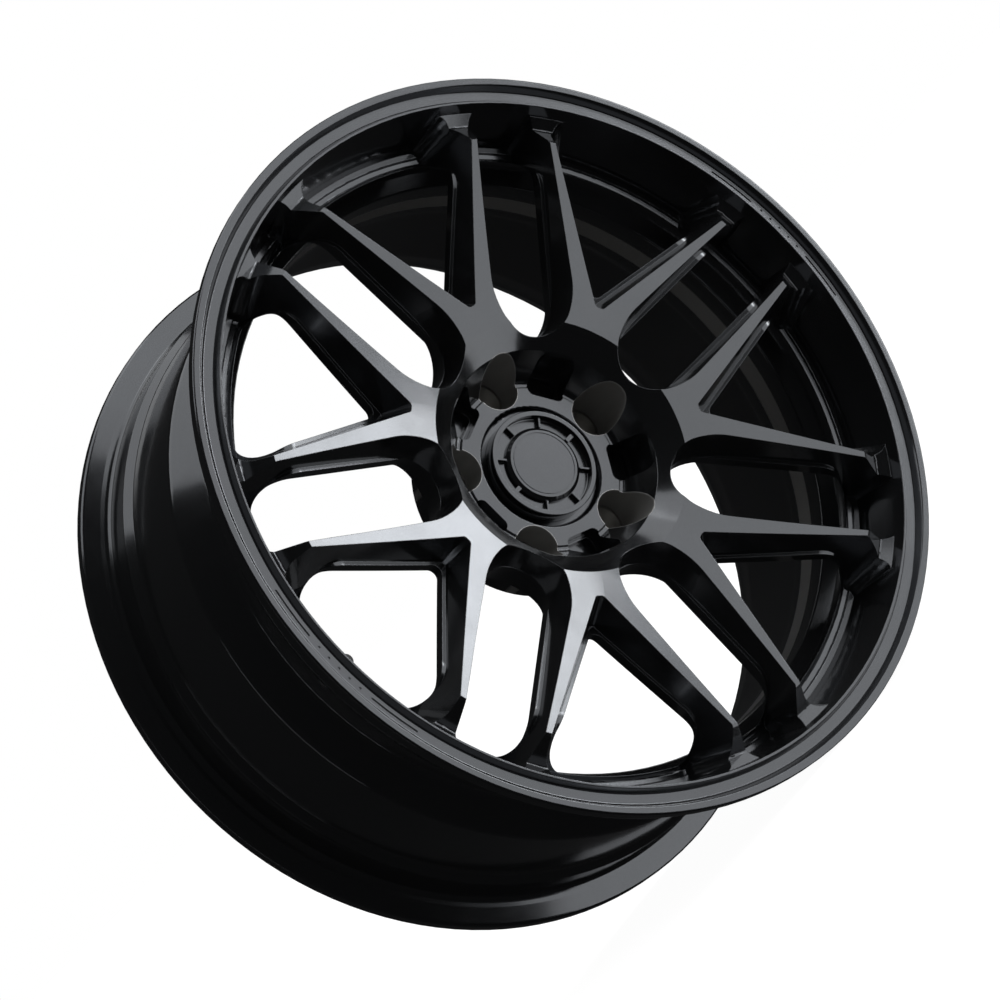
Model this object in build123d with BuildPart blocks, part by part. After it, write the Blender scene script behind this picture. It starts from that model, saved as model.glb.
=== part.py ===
from build123d import *
import os
from math import cos, hypot, radians, sin, sqrt

os.makedirs("parts", exist_ok=True)

# A forged 18 x 8 road-racing wheel without its tyre, in two seated pieces, with cap and valve.
# The axle line is Y and the street face looks along -Y. Millimetres throughout.
# "depth" is measured from the foremost plane of the lip towards the car;
# "azimuth" turns from +X towards +Z, about the axle line.

# ---- driving dimensions ----
WIDTH = 229.0
FLANGE_RADIUS = 248.5
SPOKES = 7
SPOKE_PITCH = 360 / SPOKES
FIRST_SPOKE = 180.0
LUGS = 5
LUG_PITCH = 360 / LUGS
LUG_CIRCLE = 57.15
MOUNTING_DEPTH = 96.0
HUB_BORE = 36.55
CAP_BORE = 33.6
LUG_HOLE = 7.5
LUG_POCKET = 14.4
LUG_SHOULDER = 89.0
LUG_NECK = 10.5
VALVE_RADIUS = 216.5
VALVE_HOLE = 5.75

# Dish wall: the cone inside the lip that the spoked centre is fitted into.
DISH_FRONT = 230.3
DISH_FRONT_DEPTH = 0.8
LEDGE_RADIUS = 221.0
LEDGE_DEPTH = 41.6
SEAT_RADIUS = 219.9
SEAT_DEPTH = 47.5
WINDOW_RADIUS = 210.5

# Spoke faces lie on one shallow cone, the backs on a steeper one.
HUB_EDGE = 86.0
HUB_EDGE_DEPTH = 20.4
TIP_RADIUS = 204.5
TIP_DEPTH = 0.7
BACK_ROOT = 106.0
BACK_ROOT_DEPTH = 46.6
BACK_TIP = 195.0
BACK_TIP_DEPTH = 23.4
STEP_HEIGHT = 8.0

# Windows are cut from in front of the lip to behind the mounting face.
FRONT = -4.0
BEHIND = 56.0
REAR_CUT = MOUNTING_DEPTH + 10.0
CUT_START = 20.0


def y_at(depth):
    """Y of a plane at this depth behind the lip."""
    return depth - WIDTH / 2


def plane_at(depth):
    """Plane across the axle line: local x is X, local y is Z, normal towards the street."""
    return Plane.XZ.offset(-y_at(depth))


def turned(corners, centre=0.0):
    """Revolve a closed section about the axle, or about a line parallel to it at X = centre.

    Each corner is (radius, depth, fillet).
    """
    with BuildPart() as ring:
        with BuildSketch(Plane.XY):
            with BuildLine():
                FilletPolyline(
                    *[(centre + radius, y_at(depth)) for radius, depth, blend in corners],
                    radius=[blend for radius, depth, blend in corners],
                    close=True,
                )
            make_face()
        revolve(axis=Axis((centre, 0, 0), (0, 1, 0)))
    return ring.part


def drum(radius, depth_from, depth_to, azimuth=0.0, reach=0.0):
    """Round bar parallel to the axle at a polar position."""
    with BuildPart() as bar:
        with BuildSketch(plane_at(depth_from)):
            with Locations((reach * cos(radians(azimuth)), reach * sin(radians(azimuth)))):
                Circle(radius)
        extrude(amount=-(depth_to - depth_from))
    return bar.part


def swung(shape, azimuth):
    """Turn a shape from azimuth zero to this azimuth."""
    return shape.rotate(Axis.Y, -azimuth)


def dish_radius(depth):
    """Radius of the dish wall at this depth."""
    slope = (DISH_FRONT - LEDGE_RADIUS) / (LEDGE_DEPTH - DISH_FRONT_DEPTH)
    return DISH_FRONT - slope * (depth - DISH_FRONT_DEPTH)


def save(shape, label):
    """Name a finished piece and write it."""
    shape.label = label
    export_step(shape, "parts/" + label + ".step")


# ---- rim barrel ----
barrel_section = [
    (230.3, 0.8, 0.4), (231.8, 0.8, 0.4), (234.2, 5.2, 0.6), (240.7, 5.2, 1.6),
    (243.6, 0.0, 1.2), (248.5, 0.0, 1.4), (FLANGE_RADIUS, 9.0, 3.0), (237.0, 13.0, 2.5),
    (231.0, 14.6, 5.0), (229.3, 38.0, 1.0), (230.2, 41.0, 1.2), (228.4, 46.0, 6.0),
    (208.5, 67.0, 8.0), (208.5, 95.0, 8.0), (224.6, 116.0, 8.0), (225.4, 184.0, 2.0),
    (230.2, 190.0, 1.2), (229.3, 193.0, 1.0), (231.0, 214.4, 5.0), (237.0, 216.0, 2.5),
    (FLANGE_RADIUS, 220.0, 3.0), (FLANGE_RADIUS, WIDTH, 1.4), (243.5, WIDTH, 1.2),
    (241.0, 225.6, 1.6), (235.2, 225.6, 1.4), (230.5, 221.0, 3.0), (224.0, 208.0, 6.0),
    (219.4, 188.0, 8.0), (218.6, 117.0, 9.0), (202.5, 96.0, 9.0), (202.5, 57.5, 3.0),
    (WINDOW_RADIUS, 49.3, 0.8), (WINDOW_RADIUS, SEAT_DEPTH, 0.4), (SEAT_RADIUS, SEAT_DEPTH, 0.0),
    (LEDGE_RADIUS, LEDGE_DEPTH, 0.0),
]
VALVE_AZIMUTH = 180.0
VALVE_PAD = 51.5
ENGRAVING_RADIUS = 237.5
ENGRAVING_DEPTH = 5.2
DASH_STARTS = (-13.9, 6.2)
DASH_ANGLE = 7.7
DOTS = 5


def lip_marks(azimuth):
    """Two long dashes with a row of dots between them, sunk in the lip's ring."""
    with BuildPart() as marks:
        with BuildSketch(plane_at(ENGRAVING_DEPTH - 1.0)):
            for start in DASH_STARTS:
                with BuildLine(mode=Mode.PRIVATE) as dash:
                    CenterArc((0, 0), ENGRAVING_RADIUS, azimuth + start, DASH_ANGLE)
                SlotArc(dash.line.edges()[0], 1.1)
            first = azimuth - 4
            with PolarLocations(ENGRAVING_RADIUS, DOTS, start_angle=first, angular_range=8, endpoint=True):
                Circle(0.75)
        extrude(amount=-1.7)
    return marks.part


barrel_turning = turned(barrel_section)
valve_boss = drum(12.5, SEAT_DEPTH, 60.0, VALVE_AZIMUTH, VALVE_RADIUS)
valve_pad = drum(8.5, VALVE_PAD, 75.0, VALVE_AZIMUTH, VALVE_RADIUS)
valve_hole = drum(VALVE_HOLE, 40.0, 60.0, VALVE_AZIMUTH, VALVE_RADIUS)
valve_recess = drum(7.7, CUT_START, SEAT_DEPTH, VALVE_AZIMUTH, VALVE_RADIUS)
barrel_outside = turned([
    (180.0, 40.0, 0), (229.0, 40.0, 0), (228.4, 46.0, 0), (208.5, 67.0, 0), (180.0, 67.0, 0),
])

with BuildPart() as rim_barrel:
    add(valve_boss)
    add(barrel_outside, mode=Mode.INTERSECT)
    add(barrel_turning)
    add([valve_pad, valve_hole, valve_recess], mode=Mode.SUBTRACT)
    add([lip_marks(0), lip_marks(180)], mode=Mode.SUBTRACT)

save(rim_barrel.part, "rim_barrel")

# ---- spoked centre ----
CAP_WELL = 41.0
CAP_WELL_DEPTH = 60.0
CAP_LATCH_DEPTH = 66.0
LATCH_GROOVE = 34.8
BORE_START = 71.0
HUB_FACE_DEPTH = 54.1
HUB_PAD = 71.7

centre_section = [
    (CAP_BORE, CAP_WELL_DEPTH, 0.5), (CAP_WELL, CAP_WELL_DEPTH, 2.4), (CAP_WELL, HUB_FACE_DEPTH, 1.0),
    (54.3, HUB_FACE_DEPTH, 0.4), (55.0, 55.4, 0.4), (57.6, 55.4, 2.0), (70.8, 32.9, 1.2),
    (HUB_EDGE, HUB_EDGE_DEPTH, 0.5), (TIP_RADIUS, TIP_DEPTH, 0.3), (206.2, 1.6, 0.4),
    (220.6, 14.0, 1.5), (dish_radius(9.6), 9.6, 0.0), (LEDGE_RADIUS, LEDGE_DEPTH, 0.0),
    (SEAT_RADIUS, SEAT_DEPTH, 0.0), (WINDOW_RADIUS, SEAT_DEPTH, 0.0), (WINDOW_RADIUS, 40.6, 3.0),
    (BACK_TIP, BACK_TIP_DEPTH, 14.0), (BACK_ROOT, BACK_ROOT_DEPTH, 8.0), (HUB_PAD, 73.0, 10.0),
    (HUB_PAD, 94.6, 0.4), (70.3, MOUNTING_DEPTH, 0.4), (HUB_BORE + 2.0, MOUNTING_DEPTH, 0.3),
    (HUB_BORE, 94.0, 0.3), (HUB_BORE, BORE_START, 0.3), (LATCH_GROOVE, BORE_START, 0.3),
    (LATCH_GROOVE, CAP_LATCH_DEPTH, 0.0), (CAP_BORE, CAP_LATCH_DEPTH, 0.4),
]

# Everything in front of the step that runs round each window.
STEP_ROOT = BACK_ROOT_DEPTH - STEP_HEIGHT
STEP_TIP = BACK_TIP_DEPTH - STEP_HEIGHT
step_zone_section = [
    (0.0, -20.0, 0), (262.0, -20.0, 0), (262.0, LEDGE_DEPTH, 0), (217.2, LEDGE_DEPTH, 0.4),
    (216.4, 42.8, 0.4), (212.8, 43.4, 1.5), (191.5, STEP_TIP, 16.0), (BACK_ROOT, STEP_ROOT, 8.0),
    (0.0, 66.0, 0),
]

# Y window: between the two arms of one spoke, drawn round azimuth zero.
VEE_DRAFT = 0.43
VEE_SLOPE = 0.5535
VEE_FACET_SLOPE = 0.69


def vee_half_width(along, depth):
    """Half the Y window's width at a distance along its axis."""
    return 11.2 + VEE_SLOPE * (along - 105.0) - VEE_DRAFT * depth


def reach_on_side(half_width, radius):
    """Distance along the axis where a window's side crosses a circle."""
    low, high = 0.0, radius
    for step in range(40):
        middle = (low + high) / 2
        if hypot(middle, half_width(middle)) < radius:
            low = middle
        else:
            high = middle
    return low


def vee_outline(depth, crotch_blend):
    """Face of the Y window at one depth, with a flat facet at its crotch."""
    crotch = 90.9 + VEE_FACET_SLOPE * depth
    end = reach_on_side(lambda along: vee_half_width(along, depth), dish_radius(depth) + 2.0)
    near, far = vee_half_width(crotch, depth), vee_half_width(end, depth)
    with BuildSketch(plane_at(depth)) as outline:
        with BuildLine():
            FilletPolyline(
                (crotch, -near), (end, -far), (end + 14.0, 0), (end, far), (crotch, near),
                radius=[crotch_blend, 13.0, 0, 13.0, crotch_blend],
                close=True,
            )
        make_face()
    return outline.sketch


def gap_half_width(along, depth):
    """Half the width of the window between two spokes."""
    draft = 0.4255 - 0.00139 * along
    return 29.7 - 0.0391 * (along - 106.0) + draft * (17.0 - 0.1696 * (along - 106.0) - depth)


GAP_CENTRE = 104.0


def gap_outline(depth):
    """Face of the window between two spokes at one depth, round towards the hub."""
    end = reach_on_side(lambda along: gap_half_width(along, depth), dish_radius(depth) + 2.0)
    near, far = gap_half_width(GAP_CENTRE, depth), gap_half_width(end, depth)
    with BuildSketch(plane_at(depth)) as outline:
        with BuildLine():
            FilletPolyline(
                (GAP_CENTRE - near, -near), (end, -far), (end + 6.0, 0), (end, far),
                (GAP_CENTRE - near, near),
                radius=[0.96 * near, 12.0, 0, 12.0, 0.96 * near],
                close=True,
            )
        make_face()
    return outline.sketch


def end_corner(offset, slope, radius):
    """Point where the line across = offset + slope * along meets a circle."""
    along = (-offset * slope + sqrt((1 + slope**2) * radius**2 - offset**2)) / (1 + slope**2)
    return along, offset + slope * along


def through_outline(offset, slope, start, blend):
    """Rear outline of a window: straight sides, an arc along the ledge, rounded corners."""
    along, across = end_corner(offset, slope, WINDOW_RADIUS)
    first = offset + slope * start
    with BuildSketch(plane_at(FRONT)) as outline:
        with BuildLine():
            Line((start, first), (along, across))
            ThreePointArc((along, across), (WINDOW_RADIUS, 0), (along, -across))
            Line((along, -across), (start, -first))
            if first > 0.01:
                Line((start, -first), (start, first))
        make_face()
        fillet(outline.vertices().group_by(Axis.X)[-1], radius=13.0)
        fillet(outline.vertices().group_by(Axis.X)[0], radius=blend)
    return outline.sketch


step_zone = turned(step_zone_section)
VEE_REAR_CROTCH = 117.5
VEE_REAR_SLOPE = 0.675
GAP_REAR_START = 82.4
GAP_REAR_HALF_WIDTH = 21.8

with BuildPart() as vee_upper:
    loft([vee_outline(FRONT, 3.6), vee_outline(BEHIND, 1.0)])
    add(step_zone, mode=Mode.INTERSECT)

with BuildPart() as gap_upper:
    loft([gap_outline(FRONT), gap_outline(BEHIND)])
    add(step_zone, mode=Mode.INTERSECT)

with BuildPart() as vee_through:
    offset = -VEE_REAR_SLOPE * VEE_REAR_CROTCH
    extrude(through_outline(offset, VEE_REAR_SLOPE, VEE_REAR_CROTCH, 5.2), amount=-REAR_CUT)

with BuildPart() as gap_through:
    extrude(through_outline(GAP_REAR_HALF_WIDTH, 0.0, GAP_REAR_START, 21.0), amount=-REAR_CUT)

# Lightening pockets between the lug holes, two steps deep.
POCKET_STEPS = ((25.0, 20.0, 4.5, 63.0), (20.0, 15.0, 3.5, 68.0))
POCKET_REACH = 59.2

with BuildPart() as weight_pocket:
    for width, height, blend, floor in POCKET_STEPS:
        with BuildSketch(plane_at(CUT_START)):
            with Locations((POCKET_REACH, 0)):
                RectangleRounded(height, width, blend)
        extrude(amount=-(floor - CUT_START))

lug_pocket = drum(LUG_POCKET, CUT_START, LUG_SHOULDER, 0, LUG_CIRCLE)
lug_neck = drum(LUG_NECK, LUG_SHOULDER - 1.0, MOUNTING_DEPTH + 4.0, 0, LUG_CIRCLE)
valve_notch = drum(9.0, CUT_START, 60.0, VALVE_AZIMUTH, VALVE_RADIUS)

spoke_azimuths = [FIRST_SPOKE + index * SPOKE_PITCH for index in range(SPOKES)]
gap_azimuths = [azimuth + SPOKE_PITCH / 2 for azimuth in spoke_azimuths]
lug_azimuths = [index * LUG_PITCH for index in range(LUGS)]

with BuildPart() as spoked_centre:
    add(turned(centre_section))
    for azimuth in spoke_azimuths:
        add(swung(vee_upper.part, azimuth), mode=Mode.SUBTRACT)
        add(swung(vee_through.part, azimuth), mode=Mode.SUBTRACT)
    for azimuth in gap_azimuths:
        add(swung(gap_upper.part, azimuth), mode=Mode.SUBTRACT)
        add(swung(gap_through.part, azimuth), mode=Mode.SUBTRACT)
    for azimuth in lug_azimuths:
        add(swung(lug_pocket, azimuth), mode=Mode.SUBTRACT)
        add(swung(lug_neck, azimuth), mode=Mode.SUBTRACT)
        add(swung(weight_pocket.part, azimuth + LUG_PITCH / 2), mode=Mode.SUBTRACT)
    add(valve_notch, mode=Mode.SUBTRACT)

save(spoked_centre.part, "spoked_centre")

# ---- lug seats ----
LUG_SEAT_DEPTH = 77.5
LUG_SEAT_MOUTH = 12.6
lug_seat_section = [
    (LUG_POCKET, LUG_SEAT_DEPTH, 0.3), (LUG_POCKET, LUG_SHOULDER, 0.0),
    (LUG_NECK, LUG_SHOULDER, 0.0),
    (LUG_NECK, MOUNTING_DEPTH, 0.2), (LUG_HOLE, MOUNTING_DEPTH, 0.4), (LUG_HOLE, 86.3, 0.5),
    (LUG_SEAT_MOUTH, LUG_SEAT_DEPTH, 0.3),
]
lug_seat = turned(lug_seat_section, LUG_CIRCLE)

for index, azimuth in enumerate(lug_azimuths):
    save(swung(lug_seat, azimuth), "lug_seat_" + str(index + 1))

# ---- centre cap ----
CAP_RIM = 35.9
CAP_FACE_DEPTH = 48.8
CAP_FLOOR_DEPTH = 54.0
CHANNEL_OUTER = 32.5
BADGE_RADIUS = 25.2
RIBS = 8
RIB_WIDTHS = (2.8, 1.2, 1.2, 1.2)
RIB_TOP_DEPTH = 50.7
CAP_SEAT_DEPTH = CAP_WELL_DEPTH - 0.05
LEG_OUTER = 33.0
LEG_INNER = 31.2
BARB_RADIUS = 33.5
cap_section = [
    (0.0, CAP_FLOOR_DEPTH, 0), (CHANNEL_OUTER, CAP_FLOOR_DEPTH, 0.8),
    (CHANNEL_OUTER, CAP_FACE_DEPTH, 0.25), (CAP_RIM, CAP_FACE_DEPTH, 0.6),
    (CAP_RIM, CAP_SEAT_DEPTH, 0.4), (LEG_OUTER, CAP_SEAT_DEPTH, 0), (LEG_OUTER, 66.2, 0.2),
    (BARB_RADIUS, 66.7, 0.2), (BARB_RADIUS, 68.2, 0.3), (32.2, 69.6, 0.3), (LEG_INNER, 69.6, 0.3),
    (LEG_INNER, 56.2, 1.0), (0.0, 56.2, 0),
]

with BuildPart() as cap_shell:
    add(turned(cap_section))
    with BuildSketch(plane_at(RIB_TOP_DEPTH)):
        for index in range(RIBS):
            reach = (BADGE_RADIUS + CHANNEL_OUTER) / 2 + 0.2
            with PolarLocations(reach, 1, start_angle=index * 360 / RIBS):
                Rectangle(CHANNEL_OUTER - BADGE_RADIUS, RIB_WIDTHS[index % len(RIB_WIDTHS)])
    extrude(amount=-3.5)
    # Slots between the clip legs.
    with BuildSketch(plane_at(61.0)):
        with PolarLocations(LEG_OUTER - 0.5, RIBS, start_angle=180 / RIBS):
            Rectangle(5.0, 3.0)
    extrude(amount=-10.0, mode=Mode.SUBTRACT)

save(cap_shell.part, "cap_shell")

BADGE_FACE_DEPTH = 50.0
BADGE_GROOVE = 21.2
badge_section = [
    (0.0, BADGE_FACE_DEPTH, 0), (22.9, BADGE_FACE_DEPTH, 0.2), (BADGE_RADIUS, 51.9, 0.2),
    (BADGE_RADIUS, CAP_FLOOR_DEPTH, 0), (0.0, CAP_FLOOR_DEPTH, 0),
]

with BuildPart() as cap_badge:
    add(turned(badge_section))
    with BuildSketch(plane_at(BADGE_FACE_DEPTH - 1.0)):
        Circle(BADGE_GROOVE)
        Circle(BADGE_GROOVE - 0.5, mode=Mode.SUBTRACT)
    extrude(amount=-1.35, mode=Mode.SUBTRACT)

save(cap_badge.part, "cap_badge")

# Open wire ring that spreads the clip legs.
WIRE = 0.6
with BuildPart() as cap_spring_ring:
    with BuildSketch(Plane.XY):
        with Locations((LEG_INNER - WIRE, y_at(66.6))):
            Circle(WIRE)
    revolve(axis=Axis.Y, revolution_arc=345)

save(cap_spring_ring.part, "cap_spring_ring")

# ---- tyre valve, clamped through the barrel behind the lip ----
VALVE_X = -VALVE_RADIUS
STEM_MOUTH = 33.0
STEM_THREAD = 3.85
STEM_BODY = 4.0
CORE_BORE = 2.65
CORE_LAND = 39.0
PIN_RADIUS = 0.6
FOOT_DEPTH = 53.5
NUT_DEPTH = 41.5
WASHER_DEPTH = 46.5

valve_stem = turned([
    (CORE_BORE, STEM_MOUTH, 0.15), (STEM_THREAD, STEM_MOUTH, 0.4), (STEM_THREAD, NUT_DEPTH, 0),
    (STEM_BODY, NUT_DEPTH, 0), (STEM_BODY, FOOT_DEPTH, 0), (7.4, FOOT_DEPTH, 0.4), (7.4, 56.0, 0.6),
    (1.5, 56.0, 0.2), (1.5, 50.0, 0), (2.0, 50.0, 0), (2.0, 43.0, 0), (CORE_BORE, 42.0, 0),
], VALVE_X)
save(valve_stem, "valve_stem")

valve_grommet = turned([
    (STEM_BODY, 48.4, 0), (VALVE_HOLE - 0.05, 48.4, 0.2), (VALVE_HOLE - 0.05, VALVE_PAD, 0),
    (7.6, VALVE_PAD, 0.3), (7.6, FOOT_DEPTH, 0.3), (STEM_BODY, FOOT_DEPTH, 0),
], VALVE_X)
save(valve_grommet, "valve_grommet")

valve_washer = turned([
    (STEM_BODY, WASHER_DEPTH, 0), (6.9, WASHER_DEPTH, 0.2), (6.9, SEAT_DEPTH, 0.2),
    (STEM_BODY, SEAT_DEPTH, 0),
], VALVE_X)
save(valve_washer, "valve_washer")

with BuildPart() as valve_nut:
    with BuildSketch(plane_at(NUT_DEPTH)):
        with Locations((VALVE_X, 0)):
            RegularPolygon(5.5, 6, major_radius=False)
            Circle(STEM_BODY, mode=Mode.SUBTRACT)
    extrude(amount=-(WASHER_DEPTH - NUT_DEPTH))
    chamfer(valve_nut.edges().filter_by(GeomType.CIRCLE, reverse=True).group_by(Axis.Y)[0], 0.4)
save(valve_nut.part, "valve_nut")

CORE_TOP = 33.8
CORE_END = 44.0
PIN_HOLE = 0.85
valve_core_body = turned([
    (PIN_HOLE, CORE_TOP, 0), (CORE_BORE, CORE_TOP, 0.2), (CORE_BORE, 40.0, 0), (1.7, 40.0, 0),
    (1.7, CORE_END, 0.1), (PIN_HOLE, CORE_END, 0), (PIN_HOLE, CORE_LAND, 0), (2.0, CORE_LAND, 0),
    (2.0, 34.6, 0), (PIN_HOLE, 34.6, 0),
], VALVE_X)
save(valve_core_body, "valve_core_body")

valve_core_seal = turned([
    (1.7, 40.0, 0), (2.6, 40.0, 0.1), (2.6, 41.6, 0.1), (1.7, 41.9, 0),
], VALVE_X)
save(valve_core_seal, "valve_core_seal")

# The pin has a collar that the spring lifts and a foot that carries the sealing cup.
COLLAR_TOP = 34.9
COLLAR_END = 35.3
CUP_DEPTH = CORE_END + 0.02
CUP_END = 45.2
valve_core_pin = turned([
    (0.0, 33.6, 0), (PIN_RADIUS, 33.6, 0.15), (PIN_RADIUS, COLLAR_TOP, 0), (1.5, COLLAR_TOP, 0.1),
    (1.5, COLLAR_END, 0.1), (PIN_RADIUS, COLLAR_END, 0), (PIN_RADIUS, CUP_END, 0),
    (1.2, CUP_END, 0.1), (1.2, 45.8, 0.1), (0.0, 45.8, 0),
], VALVE_X)
save(valve_core_pin, "valve_core_pin")

valve_core_cup = turned([
    (PIN_RADIUS, CUP_DEPTH, 0), (1.55, CUP_DEPTH, 0.1), (1.55, CUP_END, 0.2), (PIN_RADIUS, CUP_END, 0),
], VALVE_X)
save(valve_core_cup, "valve_core_cup")

SPRING_WIRE = 0.2
SPRING_TURNS = 5
SPRING_TOP = COLLAR_END + SPRING_WIRE + 0.02
SPRING_LENGTH = CORE_LAND - SPRING_WIRE - 0.02 - SPRING_TOP
with BuildPart() as valve_core_spring:
    with BuildLine() as coil:
        Helix(
            pitch=SPRING_LENGTH / SPRING_TURNS, height=SPRING_LENGTH, radius=1.3,
            center=(VALVE_X, y_at(SPRING_TOP), 0), direction=(0, 1, 0),
        )
    with BuildSketch(Plane(origin=coil.line @ 0, z_dir=coil.line % 0)):
        Circle(SPRING_WIRE)
    sweep(path=coil.line, is_frenet=True)
save(valve_core_spring.part, "valve_core_spring")

CAP_TIP = 27.5
CAP_CEILING = 31.2
CAP_MOUTH = 41.2
CAP_OUTER = 4.9
KNURLS = 18
with BuildPart() as valve_cap:
    add(turned([
        (0.0, CAP_TIP, 0), (4.2, CAP_TIP, 0.8), (CAP_OUTER, 30.0, 0.4), (CAP_OUTER, CAP_MOUTH, 0.3),
        (4.0, CAP_MOUTH, 0.2), (4.0, CAP_CEILING, 0), (0.0, CAP_CEILING, 0),
    ], VALVE_X))
    with BuildSketch(plane_at(31.5)):
        with Locations((VALVE_X, 0)):
            with PolarLocations(CAP_OUTER + 0.15, KNURLS):
                Circle(0.35)
    extrude(amount=-8.0, mode=Mode.SUBTRACT)
save(valve_cap.part, "valve_cap")

valve_cap_seal = turned([
    (1.3, CAP_CEILING, 0), (3.9, CAP_CEILING, 0.1), (3.9, 32.9, 0.2), (1.3, 32.9, 0.1),
], VALVE_X)
save(valve_cap_seal, "valve_cap_seal")
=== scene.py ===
"""Looks of the forged racing wheel rim: materials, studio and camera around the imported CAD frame."""

from math import cos, pi, radians, sin

import bpy
from mathutils import Matrix, Vector


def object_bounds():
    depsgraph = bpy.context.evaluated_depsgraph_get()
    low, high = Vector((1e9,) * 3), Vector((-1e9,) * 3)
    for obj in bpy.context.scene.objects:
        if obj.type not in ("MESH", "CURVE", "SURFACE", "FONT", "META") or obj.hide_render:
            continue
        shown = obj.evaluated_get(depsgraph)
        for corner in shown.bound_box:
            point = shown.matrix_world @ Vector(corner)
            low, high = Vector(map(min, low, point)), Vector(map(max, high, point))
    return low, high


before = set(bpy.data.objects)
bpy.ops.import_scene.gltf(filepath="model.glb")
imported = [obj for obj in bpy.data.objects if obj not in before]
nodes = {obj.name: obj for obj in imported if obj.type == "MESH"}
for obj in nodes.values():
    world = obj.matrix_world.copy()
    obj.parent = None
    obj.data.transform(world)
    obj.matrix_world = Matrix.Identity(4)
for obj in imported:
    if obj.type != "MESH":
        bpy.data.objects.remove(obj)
cad_low, cad_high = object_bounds()
scene = bpy.context.scene

FRONT_Y = cad_low.y
FLOOR_Z = cad_low.z


# ---------------------------------------------------------------- camera
CAMERA_PLACE = (-1.1732, -1.6813, 0.0)
CAMERA_RIGHT = Vector((0.5801, -0.4043, -0.7071)).normalized()
CAMERA_FORWARD = Vector((0.5723, 0.8200, 0.0)).normalized()
CAMERA_LENS = 114.9
SENSOR_WIDTH = 36.0
NEAR_CLIP = 0.05
FAR_CLIP = 60.0
PITCH = 0.00148
YAW = 0.00061

camera_data = bpy.data.cameras.new("camera")
camera_data.lens = CAMERA_LENS
camera_data.sensor_width = SENSOR_WIDTH
camera_data.clip_start = NEAR_CLIP
camera_data.clip_end = FAR_CLIP
camera = bpy.data.objects.new("camera", camera_data)
scene.collection.objects.link(camera)
camera_up = CAMERA_RIGHT.cross(CAMERA_FORWARD).normalized()
turn = Matrix((CAMERA_RIGHT, camera_up, -CAMERA_FORWARD)).transposed()
turn = Matrix.Rotation(PITCH, 3, CAMERA_RIGHT) @ Matrix.Rotation(YAW, 3, camera_up) @ turn
camera.matrix_world = Matrix.Translation(CAMERA_PLACE) @ turn.to_4x4()
scene.camera = camera
scene.view_settings.view_transform = "Standard"


# ---------------------------------------------------------------- node helpers
MIX_FACTOR, MIX_FIRST, MIX_SECOND, MIX_RESULT = 0, 6, 7, 2
BEVEL_SAMPLES = 6
OPEN_SURFACE, FULL_EDGE = 0.995, 0.93


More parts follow.
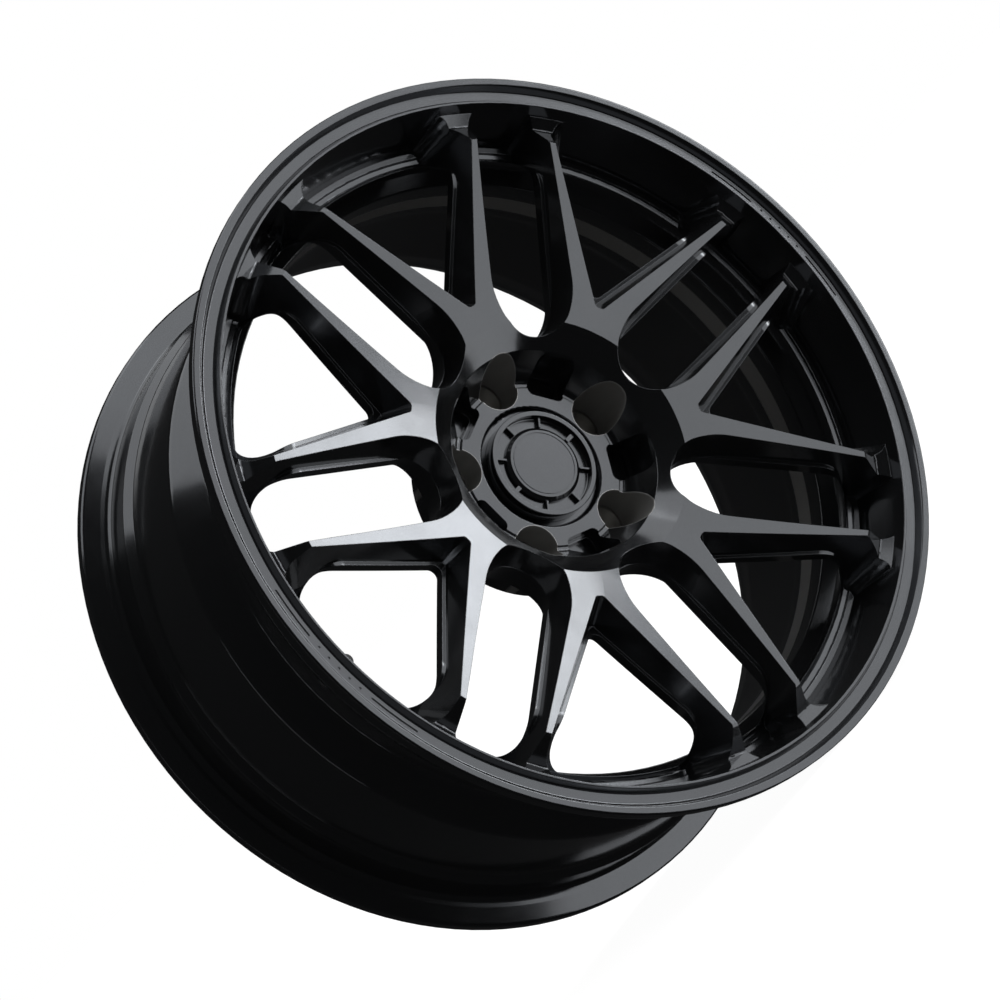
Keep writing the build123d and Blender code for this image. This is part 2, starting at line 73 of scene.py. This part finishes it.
class Tree:
    """A small builder for one material's nodes."""

    def __init__(self, name):
        self.material = bpy.data.materials.new(name)
        self.material.use_nodes = True
        self.nodes = self.material.node_tree.nodes
        self.links = self.material.node_tree.links
        self.nodes.clear()
        self.output = self.nodes.new("ShaderNodeOutputMaterial")
        self.shader = self.nodes.new("ShaderNodeBsdfPrincipled")
        self.links.new(self.shader.outputs[0], self.output.inputs[0])
        self.place = self.nodes.new("ShaderNodeTexCoord").outputs["Object"]

    def put(self, value, socket):
        """Link an output to the socket, or set the socket to a plain value."""
        if hasattr(value, "links"):
            self.links.new(value, socket)
        else:
            socket.default_value = value

    def noise(self, scale, detail=2.0, stretch=None):
        node = self.nodes.new("ShaderNodeTexNoise")
        node.inputs["Scale"].default_value = scale
        node.inputs["Detail"].default_value = detail
        place = self.place
        if stretch:
            mapping = self.nodes.new("ShaderNodeMapping")
            mapping.inputs["Scale"].default_value = stretch
            self.links.new(self.place, mapping.inputs["Vector"])
            place = mapping.outputs["Vector"]
        self.links.new(place, node.inputs["Vector"])
        return node.outputs["Fac"]

    def spread(self, value, from_low, from_high, to_low, to_high, smooth=False):
        """Map a range of the value onto another range, held at both ends."""
        node = self.nodes.new("ShaderNodeMapRange")
        if smooth:
            node.interpolation_type = "SMOOTHSTEP"
        self.put(value, node.inputs["Value"])
        node.inputs["From Min"].default_value = from_low
        node.inputs["From Max"].default_value = from_high
        node.inputs["To Min"].default_value = to_low
        node.inputs["To Max"].default_value = to_high
        return node.outputs["Result"]

    def math(self, operation, first, second=0.0):
        node = self.nodes.new("ShaderNodeMath")
        node.operation = operation
        self.put(first, node.inputs[0])
        self.put(second, node.inputs[1])
        return node.outputs[0]

    def mix(self, factor, first, second):
        node = self.nodes.new("ShaderNodeMix")
        node.data_type = "RGBA"
        self.put(factor, node.inputs[MIX_FACTOR])
        self.put(first, node.inputs[MIX_FIRST])
        self.put(second, node.inputs[MIX_SECOND])
        return node.outputs[MIX_RESULT]

    def parts(self, vector):
        node = self.nodes.new("ShaderNodeSeparateXYZ")
        self.links.new(vector, node.inputs[0])
        return node.outputs

    def geometry(self, name):
        return self.nodes.new("ShaderNodeNewGeometry").outputs[name]

    def rounded(self, radius):
        """The surface normal with its edges rounded off to a small radius."""
        node = self.nodes.new("ShaderNodeBevel")
        node.samples = BEVEL_SAMPLES
        node.inputs["Radius"].default_value = radius
        return node.outputs["Normal"]

    def edges(self, rounded):
        """Near one along edges and zero on open surface; the mask that carries the painted edge
        highlight.
        """
        node = self.nodes.new("ShaderNodeVectorMath")
        node.operation = "DOT_PRODUCT"
        self.links.new(rounded, node.inputs[0])
        self.links.new(self.geometry("Normal"), node.inputs[1])
        return self.spread(node.outputs["Value"], OPEN_SURFACE, FULL_EDGE, 0.0, 1.0)

    def bump(self, height, distance, strength=1.0, normal=None):
        node = self.nodes.new("ShaderNodeBump")
        node.inputs["Strength"].default_value = strength
        node.inputs["Distance"].default_value = distance
        self.links.new(height, node.inputs["Height"])
        if normal is not None:
            self.links.new(normal, node.inputs["Normal"])
        self.links.new(node.outputs["Normal"], self.shader.inputs["Normal"])

    def finish(self, **values):
        """Set the shader's sockets, named with underscores for spaces, and return the material."""
        for name, value in values.items():
            self.put(value, self.shader.inputs[name.replace("_", " ")])
        return self.material


def colour(red, green, blue):
    return (red, green, blue, 1.0)


def shade(base, times):
    return colour(*[min(1.0, part * times) for part in base])


# ---------------------------------------------------------------- paint
BLACK = (0.074, 0.077, 0.082)
BARE = colour(0.33, 0.326, 0.318)
FLAKE_AND_HIGHLIGHT_GAIN = 2.0
PAINT_METALLIC, BARE_METALLIC = 0.9, 0.60
BARE_ROUGHER = 0.36
SIDE_NORMAL, FACE_NORMAL = -0.90, -0.965
WEAR = 0.03
WHEEL_EDGE, CAP_EDGE = 0.0006, 0.00025
PAINT_GRAIN_DEPTH = 0.00002


def satin_black(name, base, face_roughness, side_roughness, edge_radius, matte=None):
    """Black metallic paint under a clear coat, its roughness set apart for street faces and for the rest.

    matte is a mask of places left in bare, duller metal, such as the bottoms of pockets.
    """
    tree = Tree(name)
    flake = tree.noise(2600.0, 1.0)
    body = tree.mix(tree.noise(9.0, 3.0), shade(base, 0.88), shade(base, 1.14))
    # Random lighter metallic flakes: the paint's own tone, not light.
    body = tree.mix(tree.spread(flake, 0.56, 0.72, 0.0, 0.3), body, shade(base, FLAKE_AND_HIGHLIGHT_GAIN))
    rounded = tree.rounded(edge_radius)
    painted_edge_highlight = tree.edges(rounded)
    # Painted highlight: every edge is lightened in the base colour, on top of the real rounding that the
    # bevel normal gives.
    body = tree.mix(tree.math("MULTIPLY", painted_edge_highlight, 0.3), body, shade(base, FLAKE_AND_HIGHLIGHT_GAIN))
    across = tree.parts(tree.geometry("Normal"))[1]
    rough = tree.spread(across, SIDE_NORMAL, FACE_NORMAL, side_roughness, face_roughness, smooth=True)
    wear = tree.spread(tree.noise(38.0, 4.0), 0.35, 0.7, -WEAR, WEAR)
    rough = tree.math("ADD", rough, wear)
    metallic = PAINT_METALLIC
    if matte:
        dull = matte(tree)
        body = tree.mix(dull, body, BARE)
        rough = tree.math("ADD", rough, tree.math("MULTIPLY", dull, BARE_ROUGHER))
        metallic = tree.spread(dull, 0.0, 1.0, PAINT_METALLIC, BARE_METALLIC)
    tree.bump(tree.noise(900.0, 2.0), PAINT_GRAIN_DEPTH, 0.3, rounded)
    return tree.finish(
        Base_Color=body, Metallic=metallic, Roughness=rough, Coat_Weight=0.5, Coat_Roughness=0.08,
    )


LUG_COUNT = 5
LUG_CIRCLE = 0.05715
LUG_REACH = 0.0150
LUG_FADE = 0.0004


def in_lug_pockets(tree):
    """One inside the five lug pockets."""
    x, _, z = tree.parts(tree.place)
    flat = tree.nodes.new("ShaderNodeCombineXYZ")
    tree.links.new(x, flat.inputs[0])
    tree.links.new(z, flat.inputs[2])
    nearest = 1.0
    for index in range(LUG_COUNT):
        angle = radians(360.0 / LUG_COUNT * index)
        away = tree.nodes.new("ShaderNodeVectorMath")
        away.operation = "DISTANCE"
        tree.links.new(flat.outputs[0], away.inputs[0])
        away.inputs[1].default_value = (LUG_CIRCLE * cos(angle), 0.0, LUG_CIRCLE * sin(angle))
        nearest = tree.math("MINIMUM", away.outputs["Value"], nearest)
    return tree.spread(nearest, LUG_REACH, LUG_REACH - LUG_FADE, 0.0, 1.0)


# Reaches from the axle, and depths behind the street face, at which the barrel's bare inner side
# begins and ends. Each is a pair, so that it fades instead of stopping short.
BARREL_INSIDE = (0.2235, 0.2215)
BARE_STARTS = (0.052, 0.070)
BAND_STARTS = (0.0710, 0.0725)
BAND_ENDS = (0.0855, 0.0875)
BARE_SHARE = 0.14
BAND_SHARE = 0.85


def inside_barrel(tree):
    """Rises from zero to a fraction on the bare inner side of the barrel, with a stronger band."""
    x, y, z = tree.parts(tree.place)

    def fade(depths, shallow, deep):
        return tree.spread(y, FRONT_Y + depths[0], FRONT_Y + depths[1], shallow, deep)

    squares = tree.math("ADD", tree.math("MULTIPLY", x, x), tree.math("MULTIPLY", z, z))
    reach = tree.math("SQRT", squares)
    turned = tree.parts(tree.geometry("Normal"))
    outward = tree.math("ADD", tree.math("MULTIPLY", turned[0], x), tree.math("MULTIPLY", turned[2], z))
    inner = tree.math("LESS_THAN", outward, 0.0)
    within = tree.spread(reach, BARREL_INSIDE[0], BARREL_INSIDE[1], 0.0, 1.0)
    behind = fade(BARE_STARTS, 0.0, BARE_SHARE)
    band = tree.math("MULTIPLY", fade(BAND_STARTS, 0.0, BAND_SHARE), fade(BAND_ENDS, 1.0, 0.0))
    behind = tree.math("MAXIMUM", behind, band)
    return tree.math("MULTIPLY", tree.math("MULTIPLY", inner, within), behind)


barrel_paint = satin_black("barrel_paint", BLACK, 0.18, 0.15, WHEEL_EDGE, inside_barrel)
centre_paint = satin_black("centre_paint", BLACK, 0.18, 0.15, WHEEL_EDGE, in_lug_pockets)
cap_paint = satin_black("cap_paint", BLACK, 0.20, 0.14, CAP_EDGE)
badge_paint = satin_black("badge_paint", BLACK, 0.20, 0.14, CAP_EDGE)


# ---------------------------------------------------------------- metals
METAL_EDGE = 0.0002
METAL_SPREAD = 0.06
METAL_MARK_DEPTH = 0.00002
TURNED = (1.0, 8.0, 1.0)


def plated(name, base, roughness, turned=False):
    """Plated or machined metal with turning marks or fine scratches."""
    tree = Tree(name)
    body = tree.mix(tree.noise(45.0, 4.0), shade(base, 0.8), shade(base, 1.05))
    rounded = tree.rounded(METAL_EDGE)
    rough = tree.spread(
        tree.noise(160.0, 3.0), 0.3, 0.7, roughness - METAL_SPREAD, roughness + METAL_SPREAD,
    )
    marks = tree.noise(500.0, 2.0, TURNED) if turned else tree.noise(700.0, 3.0)
    tree.bump(marks, METAL_MARK_DEPTH, 0.5, rounded)
    return tree.finish(Base_Color=body, Metallic=1.0, Roughness=rough)


seat_metal = plated("seat_metal", (0.42, 0.41, 0.39), 0.48, turned=True)
spring_metal = plated("spring_metal", (0.55, 0.55, 0.56), 0.25)
valve_metal = plated("valve_metal", (0.35, 0.35, 0.36), 0.30, turned=True)
valve_brass = plated("valve_brass", (0.62, 0.44, 0.18), 0.30, turned=True)


# ---------------------------------------------------------------- rubber and plastic
SOFT_SPREAD = 0.08
SOFT_GRAIN_DEPTH = 0.00004


def soft_black(name, base, roughness, grain, sheen):
    """Moulded rubber or plastic with a fine grain."""
    tree = Tree(name)
    body = tree.mix(tree.noise(70.0, 3.0), shade(base, 0.75), shade(base, 1.3))
    rough = tree.spread(
        tree.noise(240.0, 2.0), 0.3, 0.7, roughness - SOFT_SPREAD, roughness + SOFT_SPREAD,
    )
    tree.bump(tree.noise(grain, 2.0), SOFT_GRAIN_DEPTH, 0.6)
    return tree.finish(Base_Color=body, Roughness=rough, Sheen_Weight=sheen, Sheen_Roughness=0.5)


valve_rubber = soft_black("valve_rubber", (0.020, 0.020, 0.021), 0.62, 1800.0, 0.15)
valve_plastic = soft_black("valve_plastic", (0.018, 0.018, 0.020), 0.45, 2600.0, 0.05)


# ---------------------------------------------------------------- finish of each node
finishes = {"rim_barrel": barrel_paint, "spoked_centre": centre_paint}
finishes.update({"lug_seat_" + str(index + 1): seat_metal for index in range(LUG_COUNT)})
finishes.update({
    "cap_shell": cap_paint,
    "cap_badge": badge_paint,
    "cap_spring_ring": spring_metal,
    "valve_stem": valve_metal,
    "valve_grommet": valve_rubber,
    "valve_washer": valve_metal,
    "valve_nut": valve_metal,
    "valve_core_body": valve_brass,
    "valve_core_seal": valve_rubber,
    "valve_core_pin": valve_brass,
    "valve_core_cup": valve_rubber,
    "valve_core_spring": spring_metal,
    "valve_cap": valve_plastic,
    "valve_cap_seal": valve_rubber,
})
for name, finish in finishes.items():
    materials = nodes[name].data.materials
    materials.clear()
    materials.append(finish)


# ---------------------------------------------------------------- floor
FLOOR_REACH = 40.0
FLOOR_GLOW = 0.965
WHITE = (1.0, 1.0, 1.0)

floor_tree = Tree("floor_paint")
floor_tone = floor_tree.mix(
    floor_tree.noise(1.5, 2.0), colour(0.20, 0.20, 0.20), colour(0.22, 0.22, 0.22),
)
floor_paint = floor_tree.finish(
    Base_Color=floor_tone, Roughness=0.9, Specular_IOR_Level=0.0,
    Emission_Color=colour(*WHITE), Emission_Strength=FLOOR_GLOW,
)
floor_mesh = bpy.data.meshes.new("floor")
corners = [(-1, -1, 0), (1, -1, 0), (1, 1, 0), (-1, 1, 0)]
floor_mesh.from_pydata([Vector(corner) * FLOOR_REACH for corner in corners], [], [(0, 1, 2, 3)])
floor_mesh.materials.append(floor_paint)
floor = bpy.data.objects.new("floor", floor_mesh)
scene.collection.objects.link(floor)
floor.location = (0, 0, FLOOR_Z)
floor.visible_glossy = False
floor.visible_diffuse = False


# ---------------------------------------------------------------- world
world = bpy.data.worlds.new("studio")
scene.world = world
world.use_nodes = True
world_nodes = world.node_tree.nodes
world_links = world.node_tree.links
world_nodes.clear()
world_out = world_nodes.new("ShaderNodeOutputWorld")
path = world_nodes.new("ShaderNodeLightPath")


def sky(tone, strength):
    node = world_nodes.new("ShaderNodeBackground")
    node.inputs[0].default_value = tone
    node.inputs[1].default_value = strength
    return node.outputs[0]


def either(ray, otherwise, chosen):
    node = world_nodes.new("ShaderNodeMixShader")
    world_links.new(path.outputs[ray], node.inputs[0])
    world_links.new(otherwise, node.inputs[1])
    world_links.new(chosen, node.inputs[2])
    return node.outputs[0]


# White where it is looked at, a dim room in reflections, and soft fill on matte surfaces.
reflected = sky(colour(0.95, 0.97, 1.0), 0.015)
filled = sky(colour(1.0, 0.98, 0.96), 0.2)
seen = sky(colour(*WHITE), 1.0)
unseen = either("Is Diffuse Ray", reflected, filled)
world_links.new(either("Is Camera Ray", unseen, seen), world_out.inputs[0])


# ---------------------------------------------------------------- lights
LIGHT_DISTANCE = 8.0
COOL = (0.97, 0.985, 1.0)


def softbox(name, direction, width, height, strength):
    """A rectangular area light that looks at the wheel; strength is its radiance."""
    data = bpy.data.lights.new(name, "AREA")
    data.shape = "RECTANGLE"
    data.size = width
    data.size_y = height
    data.energy = strength * width * height * pi * 4.0
    data.color = COOL
    made = bpy.data.objects.new(name, data)
    scene.collection.objects.link(made)
    toward = Vector(direction).normalized()
    made.location = toward * LIGHT_DISTANCE
    made.rotation_euler = toward.to_track_quat("Z", "Y").to_euler()
    made.visible_camera = False


softbox("key", (0.783, -0.622, 0.0), width=1.54, height=2.82, strength=1.62)
softbox("front", (0.682, -0.731, 0.0), width=8.87, height=40.0, strength=0.35)
softbox("rear_strip", (-0.80, 0.60, 0.0), width=0.4, height=6.4, strength=0.2)
softbox("side", (0.940, 0.342, 0.0), width=5.6, height=14.0, strength=0.22)
softbox("top", (0.0, 0.05, 1.0), width=7.6, height=7.6, strength=0.30)

SUN_STRENGTH = 0.2
SUN_SOFTNESS = 0.9
SUN_TILT = (0.25, 0.15, 0.0)

sun_data = bpy.data.lights.new("overhead", "SUN")
sun_data.energy = SUN_STRENGTH
sun_data.angle = SUN_SOFTNESS
sun = bpy.data.objects.new("overhead", sun_data)
scene.collection.objects.link(sun)
sun.rotation_euler = SUN_TILT
sun.visible_glossy = False
